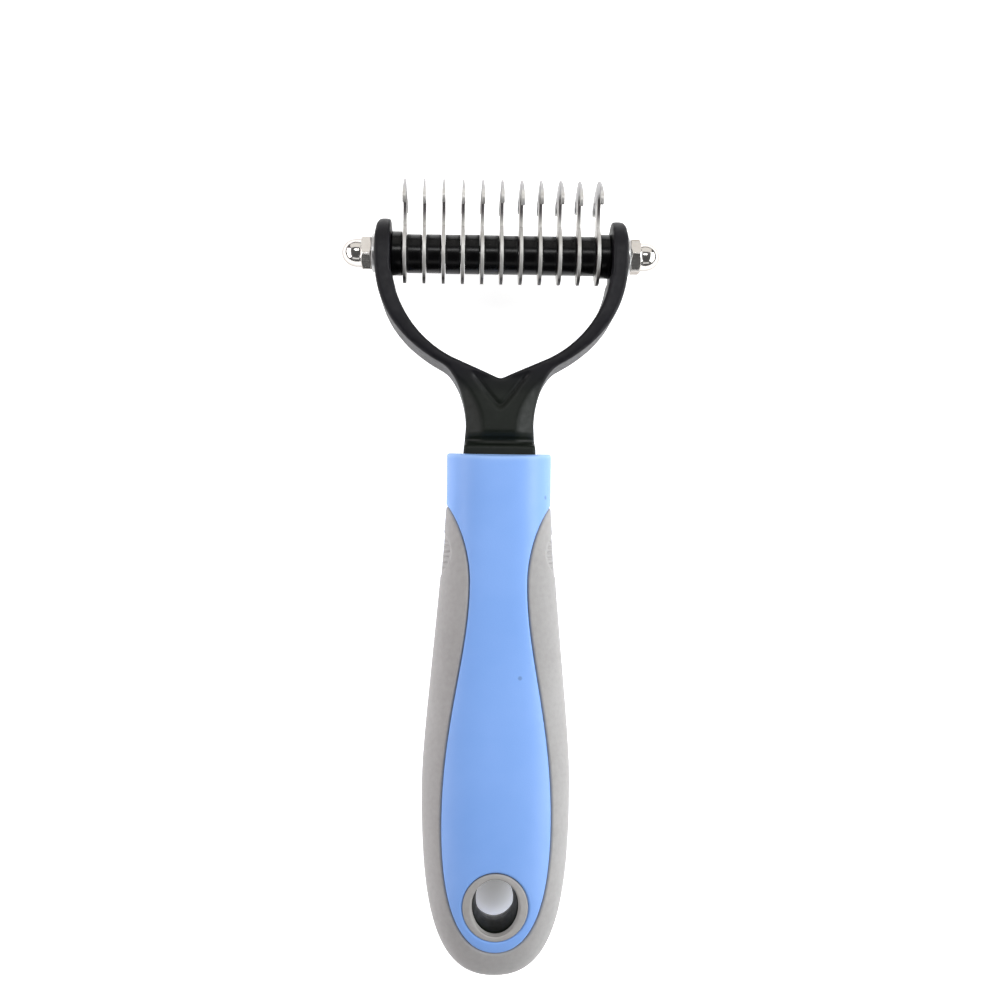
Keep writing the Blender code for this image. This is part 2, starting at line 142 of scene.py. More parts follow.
def ellipse(centre, halves, steps):
    """Points round a whole ellipse, from its right end."""
    angles = np.arange(steps) * 2 * math.pi / steps
    return [(centre[0] + halves[0] * math.cos(a), centre[1] + halves[1] * math.sin(a)) for a in angles]


def joined(*lines):
    """One list of (x, y) points from several lines."""
    return [(float(x), float(y)) for line in lines for x, y in line]


def smooth_step(value, low, high):
    """0 up to low and 1 from high on, or the other way round when low is the larger."""
    share = np.clip((value - low) / (high - low), 0, 1)
    return share * share * (3 - 2 * share)


def mirrored(half):
    """Closed outline from its right half, whose end points may lie on the middle line."""
    return list(half) + [(-x, y) for x, y in reversed(half) if x > WELD]


def resampled(points, spacing):
    """The same open line with evenly spaced points."""
    points = np.array(points, float)
    run = np.r_[0, np.cumsum(np.linalg.norm(np.diff(points, axis=0), axis=1))]
    at = np.linspace(0, run[-1], max(2, round(run[-1] / spacing) + 1))
    return np.stack([np.interp(at, run, points[:, k]) for k in (0, 1)], axis=1)


def ring_faces(count, segments, first=0, closed=False):
    """Quads between rings of points that are numbered one ring after the other."""
    faces = []
    for k in range(count if closed else count - 1):
        a, b = first + k * segments, first + (k + 1) % count * segments
        faces += [(a + i, a + (i + 1) % segments, b + (i + 1) % segments, b + i) for i in range(segments)]
    return faces


def mesh_of(name, points, faces):
    """Closed, welded mesh with its faces pointing out."""
    solid = bmesh.new()
    verts = [solid.verts.new(point) for point in points]
    for face in faces:
        corners = list(dict.fromkeys(face))
        if len(corners) > 2:
            solid.faces.new([verts[i] for i in corners])
    bmesh.ops.remove_doubles(solid, verts=solid.verts, dist=WELD)
    bmesh.ops.dissolve_degenerate(solid, edges=solid.edges, dist=WELD / 4)
    bmesh.ops.recalc_face_normals(solid, faces=solid.faces)
    mesh = bpy.data.meshes.new(name)
    solid.to_mesh(mesh)
    solid.free()
    return mesh


def add_piece(name, mesh, body, node_names, material, sharp=SHARP_ANGLE):
    """A piece that stands for CAD nodes and rides on their body."""
    piece = bpy.data.objects.new(name, mesh)
    bpy.context.scene.collection.objects.link(piece)
    mesh.materials.clear()
    mesh.materials.append(material)
    mesh.shade_smooth()
    mesh.set_sharp_from_angle(angle=sharp)
    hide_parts(*node_names)
    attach(piece, body)
    return piece


def baked(source):
    """Mesh of a helper object as its modifiers or curve settings make it; the helper is removed."""
    bpy.context.view_layer.update()
    evaluated = source.evaluated_get(bpy.context.evaluated_depsgraph_get())
    mesh = bpy.data.meshes.new_from_object(evaluated)
    bpy.data.objects.remove(source, do_unlink=True)
    welded = bmesh.new()
    welded.from_mesh(mesh)
    bmesh.ops.remove_doubles(welded, verts=welded.verts, dist=WELD)
    bmesh.ops.recalc_face_normals(welded, faces=welded.faces)
    welded.to_mesh(mesh)
    welded.free()
    return mesh


def helper(name, data):
    """A throwaway object that holds a curve or mesh while it is worked on."""
    thing = bpy.data.objects.new(name, data)
    bpy.context.scene.collection.objects.link(thing)
    return thing


def plate(outlines, thickness, edge=0.0, edge_steps=3):
    """Flat solid centred on z = 0 with rounded edges; inner outlines are holes."""
    curve = bpy.data.curves.new("outline", 'CURVE')
    curve.dimensions = '2D'
    curve.fill_mode = 'BOTH'
    curve.extrude = thickness / 2 - edge
    curve.bevel_depth = edge
    curve.bevel_resolution = edge_steps
    curve.offset = -edge
    for outline in outlines:
        spline = curve.splines.new('POLY')
        spline.points.add(len(outline) - 1)
        for point, (x, y) in zip(spline.points, outline):
            point.co = (x, y, 0, 1)
        spline.use_cyclic_u = True
    return baked(helper("outline", curve))


def turned(profile, segments, closed, angles=None, limit=None):
    """Solid turned about the X axis from a profile of (x, radius); limit caps the radius by angle."""
    points, rings = [], []
    if angles is None:
        angles = [2 * math.pi * i / segments for i in range(segments)]
    for x, radius in profile:
        if radius < WELD:
            rings.append([len(points)] * segments)
            points.append((x, 0, 0))
            continue
        rings.append(list(range(len(points), len(points) + segments)))
        for i, angle in enumerate(angles):
            reach = radius if limit is None else soft_min(radius, limit[i])
            points.append((x, reach * math.cos(angle), reach * math.sin(angle)))
    pairs = list(zip(rings, rings[1:])) + ([(rings[-1], rings[0])] if closed else [])
    faces = [(a[i - 1], a[i], b[i], b[i - 1]) for a, b in pairs for i in range(segments)]
    return mesh_of("turned", points, faces)


def soft_min(a, b, blend=0.00003):
    """Smaller of two lengths, with the change from one to the other rounded."""
    apart = abs(a - b)
    return min(a, b) - (blend * math.log(1 + math.exp(-apart / blend)) if apart < 12 * blend else 0.0)


def filleted(corners, steps=4):
    """Closed line through (x, y, radius) corners, with each corner rounded."""
    line = []
    for i, (x, y, radius) in enumerate(corners):
        corner = Vector((x, y))
        before = (Vector(corners[i - 1][:2]) - corner).normalized()
        after = (Vector(corners[(i + 1) % len(corners)][:2]) - corner).normalized()
        half = before.angle(after) / 2
        if radius == 0 or half > math.radians(89):
            line.append((x, y))
            continue
        reach = radius / math.tan(half)
        middle = corner + (before + after).normalized() * radius / math.sin(half)
        start = corner + before * reach - middle
        turn = (math.pi - 2 * half) * math.copysign(1, before.cross(after))
        for k in range(steps + 1):
            line.append(tuple(middle + Matrix.Rotation(-turn * k / steps, 2) @ start))
    return line


def boolean(target, operation, mesh, matrix=Matrix()):
    """Adds a boolean modifier and returns its tool, which stays until the target is baked."""
    tool = helper("tool", mesh)
    tool.matrix_world = matrix
    modifier = target.modifiers.new(operation, 'BOOLEAN')
    modifier.operation = operation
    modifier.object = tool
    return tool


# --- Materials ----------------------------------------------------------------------------------


class Finish:
    """A Principled material whose colour, roughness and bump come from procedural patterns."""

    def __init__(self, name, roughness, metallic=0.0, **sockets):
        self.material = bpy.data.materials.new(name)
        self.material.use_nodes = True
        self.nodes = self.material.node_tree.nodes
        self.links = self.material.node_tree.links
        self.shader = self.nodes["Principled BSDF"]
        self.shader.inputs["Roughness"].default_value = roughness
        self.shader.inputs["Metallic"].default_value = metallic
        for socket, value in sockets.items():
            self.shader.inputs[socket.replace("_", " ")].default_value = value
        self.place = self.nodes.new('ShaderNodeTexCoord').outputs["Object"]
        self.height = None

    def feed(self, socket, value):
        """Links another node's output to a socket, or sets the socket to a value."""
        if isinstance(value, bpy.types.NodeSocket):
            self.links.new(value, socket)
        else:
            socket.default_value = value

    def node(self, kind, **inputs):
        """New node with its inputs given by name."""
        node = self.nodes.new(kind)
        for key, value in inputs.items():
            self.feed(node.inputs[key.replace("_", " ")], value)
        return node

    def noise(self, scale, detail=3.0, stretch=(1, 1, 1)):
        """Noise from 0 to 1; scale is in cycles per metre."""
        mapping = self.node('ShaderNodeMapping', Vector=self.place, Scale=stretch)
        made = self.node('ShaderNodeTexNoise', Vector=mapping.outputs["Vector"], Scale=scale, Detail=detail)
        return made.outputs["Fac"]

    def ramp(self, factor, stops):
        """Colour ramp through (place, colour) stops."""
        made = self.node('ShaderNodeValToRGB', Fac=factor)
        elements = made.color_ramp.elements
        while len(elements) < len(stops):
            elements.new(0.5)
        for element, (place, colour) in zip(elements, stops):
            element.position = place
            element.color = (*colour, 1.0)
        return made.outputs["Color"]

    def range(self, value, low, high, to_low, to_high):
        """A value between low and high carried over to another range, and held at its ends."""
        made = self.nodes.new('ShaderNodeMapRange')
        for socket, number in zip(made.inputs, (value, low, high, to_low, to_high)):
            self.feed(socket, number)
        return made.outputs["Result"]

    def mix(self, factor, first, second):
        """Blend of two colours or patterns."""
        made = self.nodes.new('ShaderNodeMix')
        made.data_type = 'RGBA'
        for index, value in ((0, factor), (6, first), (7, second)):
            self.feed(made.inputs[index], (*value, 1.0) if isinstance(value, tuple) else value)
        return made.outputs[2]

    def colour(self, socket):
        self.links.new(socket, self.shader.inputs["Base Color"])
        return self

    def rough(self, socket, low, high):
        """Roughness that follows a pattern."""
        self.links.new(self.range(socket, 0.3, 0.7, low, high), self.shader.inputs["Roughness"])
        return self

    def bump(self, socket, depth):
        """Adds a bump of that depth in metres."""
        made = self.node('ShaderNodeBump', Height=socket, Distance=depth, Strength=1.0)
        if self.height:
            self.links.new(self.height, made.inputs["Normal"])
        self.height = made.outputs["Normal"]
        self.links.new(self.height, self.shader.inputs["Normal"])
        return self

    def math(self, operation, *values):
        made = self.nodes.new('ShaderNodeMath')
        made.operation = operation
        for socket, value in zip(made.inputs, values):
            self.feed(socket, value)
        return made.outputs[0]

    def product(self, first, second):
        return self.math('MULTIPLY', first, second)

    def axis(self, index):
        """One coordinate of the comb's frame: 0 across, 1 along, 2 up."""
        split = self.node('ShaderNodeSeparateXYZ', Vector=self.place)
        return split.outputs[index]


def nylon_material():
    """Black glass-filled nylon, a little greener and duller towards the neck."""
    made = Finish("fork_nylon", 0.44, Specular_IOR_Level=0.26)
    cloud = made.noise(180, 4)
    arms = made.ramp(cloud, ((0.35, (0.0028, 0.0026, 0.0046)), (0.70, (0.0048, 0.0045, 0.0074))))
    neck = made.ramp(cloud, ((0.35, (0.0022, 0.0042, 0.0022)), (0.70, (0.0040, 0.0068, 0.0040))))
    lower = made.range(made.axis(1), AXLE.y - 0.0260, AXLE.y - 0.0320, 0.0, 1.0)
    made.colour(made.mix(lower, arms, neck))
    grain = made.noise(5200, 2)
    made.rough(made.noise(900, 4), 0.40, 0.52)
    return made.bump(grain, 0.000008).bump(cloud, 0.00004).material


def spacer_material():
    """Black tube with fine turning lines and a soft gloss."""
    made = Finish("spacer_black", 0.23, Specular_IOR_Level=0.21)
    shades = (0.3, (0.0016, 0.0015, 0.0020)), (0.7, (0.0036, 0.0034, 0.0042))
    made.colour(made.ramp(made.noise(420, 3), shades))
    made.rough(made.noise(650, 4), 0.20, 0.27)
    lines = made.noise(900, 2, (5, 0.6, 0.6))
    return made.bump(lines, 0.0000015).bump(made.noise(240, 2), 0.00003).material


def blade_material():
    """Stamped stainless steel, ground along the blade, with painted shade on the edges of its gullets and a
    painted dark reflection on the edges under its hub.
    """
    made = Finish("blade_steel", 0.52, 1.0)
    stain = made.noise(240, 4)
    pale = (0.30, (0.54, 0.525, 0.50)), (0.55, (0.66, 0.65, 0.63)), (0.8, (0.73, 0.72, 0.70))
    shank = made.ramp(stain, pale)
    crown = made.ramp(stain, ((0.30, (0.40, 0.395, 0.400)), (0.80, (0.52, 0.515, 0.520))))
    along = made.axis(1)
    base = made.mix(made.range(along, AXLE.y + 0.0105, AXLE.y + 0.0120, 0.0, 1.0), shank, crown)
    split = made.node('ShaderNodeSeparateXYZ', Vector=made.nodes.new('ShaderNodeNewGeometry').outputs["Normal"])
    edge = made.range(made.math('ABSOLUTE', split.outputs[0]), 0.5, 0.7, 1.0, 0.0)
    above = made.range(along, AXLE.y + 0.0060, AXLE.y + 0.0085, 0.0, 1.0)
    inner_low = made.range(made.axis(2), AXLE.z - 0.0060, AXLE.z - 0.0050, 0.0, 1.0)
    inner_high = made.range(made.axis(2), AXLE.z + 0.0050, AXLE.z + 0.0060, 1.0, 0.0)
    # Painted shade: the edges along the gullets, near the blade's middle, are darkened where they lie in shade
    gullet_painted_shade = made.product(made.product(edge, above), made.product(inner_low, inner_high))
    # Painted dark reflection: the edges under the hub are darkened
    under = made.product(edge, made.range(along, AXLE.y - 0.0050, AXLE.y - 0.0058, 0.0, 1.0))
    # Tones of the painted shade and of the painted dark reflection
    painted_shade_tone = made.ramp(stain, ((0.30, (0.13, 0.12, 0.12)), (0.80, (0.19, 0.18, 0.18))))
    painted_reflection_tone = made.ramp(stain, ((0.30, (0.06, 0.055, 0.055)), (0.80, (0.11, 0.105, 0.105))))
    made.colour(made.mix(under, made.mix(gullet_painted_shade, base, painted_shade_tone), painted_reflection_tone))
    grind = made.noise(1500, 3, (3.0, 0.3, 0.6))
    made.rough(grind, 0.46, 0.60)
    return made.bump(grind, 0.0000015).material


def chrome_material():
    """Warm nickel-chrome plate with a light haze and hairline scratches."""
    made = Finish("nut_chrome", 0.14, 1.0, Specular_Tint=(0.45, 0.42, 0.40, 1.0))
    made.colour(made.ramp(made.noise(300, 3), ((0.3, (0.72, 0.690, 0.655)), (0.7, (0.80, 0.780, 0.755)))))
    made.rough(made.noise(1400, 5, (1, 5, 1)), 0.11, 0.20)
    return made.bump(made.noise(500, 2), 0.00003).material


def plated_material(name, base):
    """Zinc-plated steel."""
    made = Finish(name, 0.32, 1.0)
    darker = tuple(0.8 * value for value in base)
    made.colour(made.ramp(made.noise(800, 5), ((0.3, darker), (0.7, base))))
    made.rough(made.noise(1500, 4), 0.26, 0.44)
    return made.bump(made.noise(2600, 3), 0.000012).material


def blue_material():
    """Satin light blue polypropylene: faint flow clouds, fine grain, a few dust specks and a painted highlight
    along the collar's end.
    """
    made = Finish("handle_blue", 0.42, Specular_IOR_Level=0.5)
    flow = made.ramp(made.noise(55, 3), ((0.35, (0.205, 0.395, 0.845)), (0.65, (0.232, 0.425, 0.880))))
    specks = made.node('ShaderNodeTexVoronoi', Vector=made.place, Scale=170.0)
    chance = made.node('ShaderNodeTexWhiteNoise', Vector=specks.outputs["Position"]).outputs["Value"]
    near = made.range(specks.outputs["Distance"], 0.05, 0.10, 1.0, 0.0)
    rare = made.range(chance, 0.80, 0.81, 0.0, 0.55)
    # Painted highlight: a lighter band along the rounded rim of the collar's end, following the end's fall
    height = made.math('SUBTRACT', made.axis(2), AXLE.z)
    fall = made.product(made.product(height, height), COLLAR_FALL / (COLLAR_HALF * COLLAR_FLATNESS) ** 2)
    below_end = made.math('SUBTRACT', made.math('SUBTRACT', COLLAR_TOP, made.axis(1)), fall)
    rim = made.range(below_end, 0.0004, 0.0011, 0.55, 0.0)
    flow_and_painted_highlight = made.mix(rim, flow, (0.36, 0.56, 0.93))
    made.colour(made.mix(made.product(near, rare), flow_and_painted_highlight, (0.10, 0.17, 0.34)))
    grain = made.noise(3600, 2)
    made.rough(made.noise(700, 4), 0.38, 0.48)
    return made.bump(grain, 0.000016).bump(made.noise(60, 2), 0.00010).material


def rubber_material(name, low, high):
    """Soft-touch grey elastomer with a matte grain and slight shade changes."""
    made = Finish(name, 0.68, Specular_IOR_Level=0.35, Sheen_Weight=0.12, Sheen_Roughness=0.5)
    cloud = made.mix(0.5, made.noise(45, 3), made.noise(900, 4))
    made.colour(made.ramp(cloud, ((0.35, low), (0.65, high))))
    made.rough(made.noise(500, 4), 0.60, 0.78)
    grain = made.noise(4200, 3)
    return made.bump(grain, 0.000028).material


NYLON = nylon_material()
SPACER_BLACK = spacer_material()
BLADE_STEEL = blade_material()
CHROME = chrome_material()
ROD_STEEL = plated_material("rod_steel", (0.55, 0.55, 0.56))
WASHER_STEEL = plated_material("washer_steel", (0.62, 0.62, 0.62))
BLUE = blue_material()
GREY = rubber_material("grip_grey", (0.335, 0.325, 0.322), (0.385, 0.376, 0.373))
BEZEL_GREY = rubber_material("bezel_grey", (0.345, 0.333, 0.324), (0.390, 0.380, 0.370))


# --- Blades ------------------------------------------------------------------------------------

BLADE_COUNT = 11
BLADE_THICKNESS = 0.00072
BLADE_EDGE = 0.00009
BLADE_RADIUS = 0.0160
HUB_RADIUS = 0.0064
SHANK_HALF = 0.0023
GULLET_RADIUS = 0.0034
GULLET_CENTRE = (0.0057, 0.0090)
GULLET_END = 20
HOOK_TIP_RADIUS = 0.0013
HOOK_TIP_ANGLE = math.radians(41)
HOOK_TIP_ARC = (-160, 45)
CROWN_START = 52
BLADE_TILT = math.radians(8)
BLADE_SWAY = math.radians(1.5)
SWAY_STEP = 2.3
# The back of each head is ground thinner from here to the tip
GRIND_FROM = 0.0115
GRIND_SHARE = 0.5
# Sideways lean of the first and the last blade, and how much it varies
BLADE_LEANS = (math.radians(1.6), math.radians(-0.5))
LEAN_SPREAD = math.radians(0.5)
# Stands an outline drawn as (depth, y) on the comb's plane, with its x along +Z
ON_EDGE = Matrix.Rotation(-math.pi / 2, 4, 'Y')


def blade_outline():
    """Half outline as (depth, height): hub, shank, gullet, blunt hook and round back."""
    hub_end = math.degrees(math.acos(SHANK_HALF / HUB_RADIUS))
    half = arc((0, 0), HUB_RADIUS, -90, hub_end, 24)
    half += arc(GULLET_CENTRE, GULLET_RADIUS, 180, GULLET_END, 20)
    tip_reach = BLADE_RADIUS - HOOK_TIP_RADIUS
    tip = (tip_reach * math.sin(HOOK_TIP_ANGLE), tip_reach * math.cos(HOOK_TIP_ANGLE))
    half += arc(tip, HOOK_TIP_RADIUS, *HOOK_TIP_ARC, 14)
    half += arc((0, 0), BLADE_RADIUS, CROWN_START, 90, 18)
    return mirrored(half)


def add_blades():
    """Eleven plates with ground heads, each with its own tilt and lean."""
    bore = ellipse((0, 0), (BORE_RADIUS, BORE_RADIUS), 32)
    shape = plate([blade_outline(), bore], BLADE_THICKNESS, BLADE_EDGE)
    for vertex in shape.vertices:
        vertex.co.z *= 1 - GRIND_SHARE * smooth_step(vertex.co.y, GRIND_FROM, BLADE_RADIUS)
    for index in range(BLADE_COUNT):
        node = f"blade_{index + 1:02d}"
        tilt = BLADE_TILT + BLADE_SWAY * math.sin(SWAY_STEP * index)
        first, last = BLADE_LEANS
        lean = first + (last - first) * index / (BLADE_COUNT - 1) + LEAN_SPREAD * math.sin(2.9 * index + 4.0)
        place = Vector((centre_of(node).x, AXLE.y, AXLE.z))
        mesh = shape.copy()
        turn = Matrix.Rotation(lean, 4, 'Y') @ Matrix.Rotation(tilt, 4, 'X')
        mesh.transform(Matrix.Translation(place) @ turn @ ON_EDGE)
        add_piece(f"{node}_steel", mesh, "blade_stack", [node], BLADE_STEEL)


# --- Spacers, rod, washers and nuts --------------------------------------------------------------

SPACER_RADIUS = 0.0043
END_SPACER_RADIUS = 0.0048
SPACER_EDGE = 0.00022
# How far a spacer reaches towards the thinner, leaning blade at each end
SPACER_REACH = 0.00006
THREAD_LENGTH = 0.0090
THREAD_PITCH = 0.0007
THREAD_DEPTH = 0.00036
NUT_FLATS = 0.0070
NUT_HEX = 0.0022
DOME_RADIUS = 0.0030
DOME_ROUND = 0.0033
NUT_BORE_DEPTH = 0.0052
WASHER_RADIUS = 0.0042
LEFT_NUT_TURN = math.radians(13)


def add_tube(name, node, radius, edge, material, body, shift=0.0, reach=0.0):
    """Ring round the axle in the place of a CAD ring, with rounded edges."""
    low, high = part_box(node)
    start, end = low.x - reach, high.x + reach
    corners = ((start, radius, edge), (end, radius, edge), (end, BORE_RADIUS, 0), (start, BORE_RADIUS, 0))
    mesh = turned(filleted(corners), 72, True)
    mesh.transform(Matrix.Translation((0, AXLE.y + shift, AXLE.z)))
    add_piece(name, mesh, body, [node], material)


def add_spacers():
    """Ten tubes between the blades and a larger bush at each end."""
    for index in range(1, BLADE_COUNT):
        node = f"spacer_{index:02d}"
        radius = SPACER_RADIUS - 0.00004 + 0.00004 * math.sin(5.1 * index)
        shift = 0.00003 * math.sin(3.7 * index)
        add_tube(f"{node}_tube", node, radius, SPACER_EDGE, SPACER_BLACK, "blade_stack", shift,
                 SPACER_REACH)
    for node in ("spacer_end_left", "spacer_end_right"):
        add_tube(f"{node}_bush", node, END_SPACER_RADIUS, SPACER_EDGE, SPACER_BLACK,
                 "blade_stack")


def thread_mesh():
    """The rod's own thread: a fine helix cut into both ends of a plain rod."""
    segments = 48
    plain = ROD_HALF - THREAD_LENGTH
    steps = np.arange(0, THREAD_LENGTH - 0.0004, THREAD_PITCH / 8)
    ends = [-(plain + s) for s in steps[::-1]], [plain + s for s in steps]
    stations = [-ROD_HALF] + ends[0] + ends[1] + [ROD_HALF]
    points = [(-ROD_HALF, 0, 0)]
    for x in stations:
        for i in range(segments):
            turn = i / segments
            ridge = abs(((x / THREAD_PITCH + turn) % 1.0) - 0.5) * 2
            cut = THREAD_DEPTH * ridge if plain < abs(x) < ROD_HALF else 0.0
            radius = ROD_RADIUS - cut if abs(x) < ROD_HALF else ROD_RADIUS - THREAD_DEPTH
            points.append((x, radius * math.cos(2 * math.pi * turn), radius * math.sin(2 * math.pi * turn)))
    points.append((ROD_HALF, 0, 0))
    faces = ring_faces(len(stations), segments, 1)
    last = 1 + (len(stations) - 1) * segments
    for i in range(segments):
        after = (i + 1) % segments
        faces += [(0, 1 + after, 1 + i), (len(points) - 1, last + i, last + after)]
    return mesh_of("rod", points, faces)


def nut_mesh(length):
    """Acorn nut: chamfered hexagon, short neck and round cap, with a blind bore; x = 0 at its seat."""
    flat = NUT_FLATS / 2
    corner = flat / math.cos(math.pi / 6)
    face = flat - 0.00005
    cone = (corner - face) * math.tan(math.radians(30))
    top = corner + 0.00002
    dome_start = length - DOME_ROUND
    corners = [(NUT_BORE_DEPTH, 0, 0), (NUT_BORE_DEPTH, BORE_RADIUS, 0), (0, BORE_RADIUS, 0)]
    corners += [(0, face, 0.00006), (cone, top, 0.00012)]
    corners += [(NUT_HEX - cone, top, 0.00012), (NUT_HEX, face, 0.00006)]
    corners += [(NUT_HEX, DOME_RADIUS + 0.00012, 0.00010), (NUT_HEX + 0.0005, DOME_RADIUS, 0.0004)]
    for angle in np.radians(np.linspace(0, 90, 18)):
        corners.append((dome_start + DOME_ROUND * math.sin(angle), DOME_RADIUS * math.cos(angle), 0))
    profile = filleted(corners)
    dense = [profile[0]]
    for start, end in zip(profile, profile[1:]):
        count = max(1, math.ceil(math.dist(start, end) / 0.00007)) if start[1] > face else 1
        dense += [tuple(np.array(start) + (np.array(end) - start) * k / count) for k in range(1, count + 1)]
    angles, limit = [], []
    for side in range(6):
        for step in np.linspace(-1, 1, 17)[:-1]:
            off = math.pi / 6 * math.sin(step * math.pi / 2)
            angles.append(side * math.pi / 3 + off)
            limit.append(soft_min(flat / math.cos(off), corner - 0.00004))
    return turned(dense, len(angles), False, angles, limit)


def add_fasteners():
    """Rod, washers and cap nuts; the left nut stops a little further round."""
    rod = thread_mesh()
    rod.transform(Matrix.Translation(AXLE))
    add_piece("axle_rod_threaded", rod, "blade_stack", ["axle_rod"], ROD_STEEL)
    for side, sign in (("left", -1), ("right", 1)):
        washer = f"washer_{side}"
        add_tube(f"{washer}_ring", washer, WASHER_RADIUS, 0.00015, WASHER_STEEL, washer)
        low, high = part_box(f"cap_nut_{side}")
        nut = nut_mesh(high.x - low.x)
        facing = Matrix.Rotation(math.pi if sign < 0 else 0.0, 4, 'Z')
        seat = high.x if sign < 0 else low.x
        turn = Matrix.Rotation(LEFT_NUT_TURN if sign < 0 else 0.0, 4, 'X')
        nut.transform(Matrix.Translation((seat, AXLE.y, AXLE.z)) @ turn @ facing)
        add_piece(f"cap_nut_{side}_chrome", nut, f"nut_{side}", [f"cap_nut_{side}"], CHROME)


# --- Handle surface -----------------------------------------------------------------------------


def side_profile():
    """Arrays of arc length, distance and half width down the handle's side, to the butt."""
    belly = (BELLY_AT, BELLY_HALF)
    line = np.stack([np.linspace(0, COLLAR_HEIGHT, 40), np.full(40, COLLAR_HALF)], axis=1)
    line = np.r_[line, bezier(line[-1], *SIDE_HANDLES, belly, 400)]
    end = (HANDLE_LENGTH, 0.0)
    line = np.r_[line, bezier(belly, (BUTT_HANDLE_AT, BELLY_HALF), (HANDLE_LENGTH, BUTT_HANDLE_HALF), end, 400)]
    run = np.r_[0, np.cumsum(np.linalg.norm(np.diff(line, axis=0), axis=1))]
    return run, line[:, 0], line[:, 1]


RUN, DISTANCE, HALF_WIDTH = side_profile()
RUN_END = RUN[-1]
BUTT_END = (0.0, float(RUN_END))


def flatness(distance):
    """Depth over width: nearly round at the collar, flatter from the belly down."""
    share = np.minimum(distance / BELLY_AT, 1.0)
    return COLLAR_FLATNESS + (BELLY_FLATNESS - COLLAR_FLATNESS) * share * share * (3 - 2 * share)


def quarter_round(run):
    """Length of the unrolled sheet from the front's middle line to the side line."""
    half = np.interp(run, RUN, HALF_WIDTH)
    return np.maximum(math.pi / 4 * half * (1 + flatness(np.interp(run, RUN, DISTANCE))) * 1.03, 1e-9)


def surface(across, run):
    """Place on the handle of a point of the unrolled sheet."""
    half = np.interp(run, RUN, HALF_WIDTH)
    distance = np.interp(run, RUN, DISTANCE)
    angle = across / quarter_round(run) * math.pi / 2
    sine, cosine = np.sin(angle), np.cos(angle)
    reach = (np.abs(sine) ** SECTION_POWER + np.abs(cosine) ** SECTION_POWER) ** (-1 / SECTION_POWER)
    return np.stack([half * reach * sine, -distance, half * flatness(distance) * reach * cosine], axis=-1)


def surface_inset(places, depth):
    """Points of the sheet (across, run) as they lie on the handle, moved in by a depth."""
    across, run = places[:, 0], places[:, 1]
    step = 0.0001
    back = np.clip(run - step, 0, RUN_END - 3 * step)
    along = surface(across * quarter_round(back + 2 * step) / quarter_round(run), back + 2 * step)
    along = along - surface(across * quarter_round(back) / quarter_round(run), back)
    share = across / quarter_round(run)
    wide = np.minimum(run, RUN_END - 3 * step)
    reach = quarter_round(wide)
    over = surface((share + 0.002) * reach, wide) - surface((share - 0.002) * reach, wide)
    normal = np.cross(over, along)
    normal /= np.maximum(np.linalg.norm(normal, axis=1), 1e-12)[:, None]
    near_end = np.clip((run - (RUN_END - 6 * step)) / (5 * step), 0, 1)[:, None]
    normal = normal * (1 - near_end) + near_end * np.array([0, -1.0, 0])
    normal /= np.linalg.norm(normal, axis=1)[:, None]
    outward = np.sign(np.sum(normal * surface(across, run) * np.array([1, 0, 1]), axis=1) + 1e-9)[:, None]
    outward[run > RUN_END - 5 * step] = 1.0
    return surface(across, run) - normal * outward * np.reshape(depth, (-1, 1))


def on_sheet(half_width, distance):
    """Place on the unrolled sheet of a point seen from the front."""
    run = np.interp(distance, DISTANCE, RUN)
    share = np.clip(half_width / np.interp(run, RUN, HALF_WIDTH), 0, 1)
    rise = (1 - share ** SECTION_POWER) ** (1 / SECTION_POWER)
    return np.stack([np.arctan2(share, rise) * 2 / math.pi * quarter_round(run), run], axis=-1)


def panel_edge(outset):
    """Edge of the blue panel on the sheet, from the side line down to the middle line."""
    waist, foot = PANEL_WAIST[1], PANEL_FOOT[1]
    line = bezier(PANEL_SHOULDER, PANEL_NECK_HANDLE, (WAIST_HANDLES_AT[0], waist), PANEL_WAIST, 3000)
    handles = (WAIST_HANDLES_AT[1], waist), (FOOT_HANDLES_AT[0], foot)
    line = np.r_[line, bezier(PANEL_WAIST, *handles, PANEL_FOOT, 600)]
    handles = (FOOT_HANDLES_AT[1], foot), (PANEL_END_AT, PANEL_END_HANDLE)
    line = np.r_[line, bezier(PANEL_FOOT, *handles, (PANEL_END_AT, 0.0), 600)]
    limit = np.interp(np.interp(line[:, 0], DISTANCE, RUN), RUN, HALF_WIDTH)
    line = line[np.argmax(line[:, 1] < limit) - 1:]
    edge = resampled(on_sheet(line[:, 1], line[:, 0]), 0.0006)
    return shifted(edge, outset)


def shifted(line, distance):
    """A line of the sheet moved sideways, to its left, with its ends kept on the mirror lines."""
    along = np.gradient(line, axis=0)
    along[0], along[-1] = (-1, 0), (-1, 0)
    along /= np.linalg.norm(along, axis=1)[:, None]
    moved = line + distance * np.stack([-along[:, 1], along[:, 0]], axis=1)
    moved[0, 0] = quarter_round(moved[0, 1])
    moved[-1, 0] = 0.0
    return moved


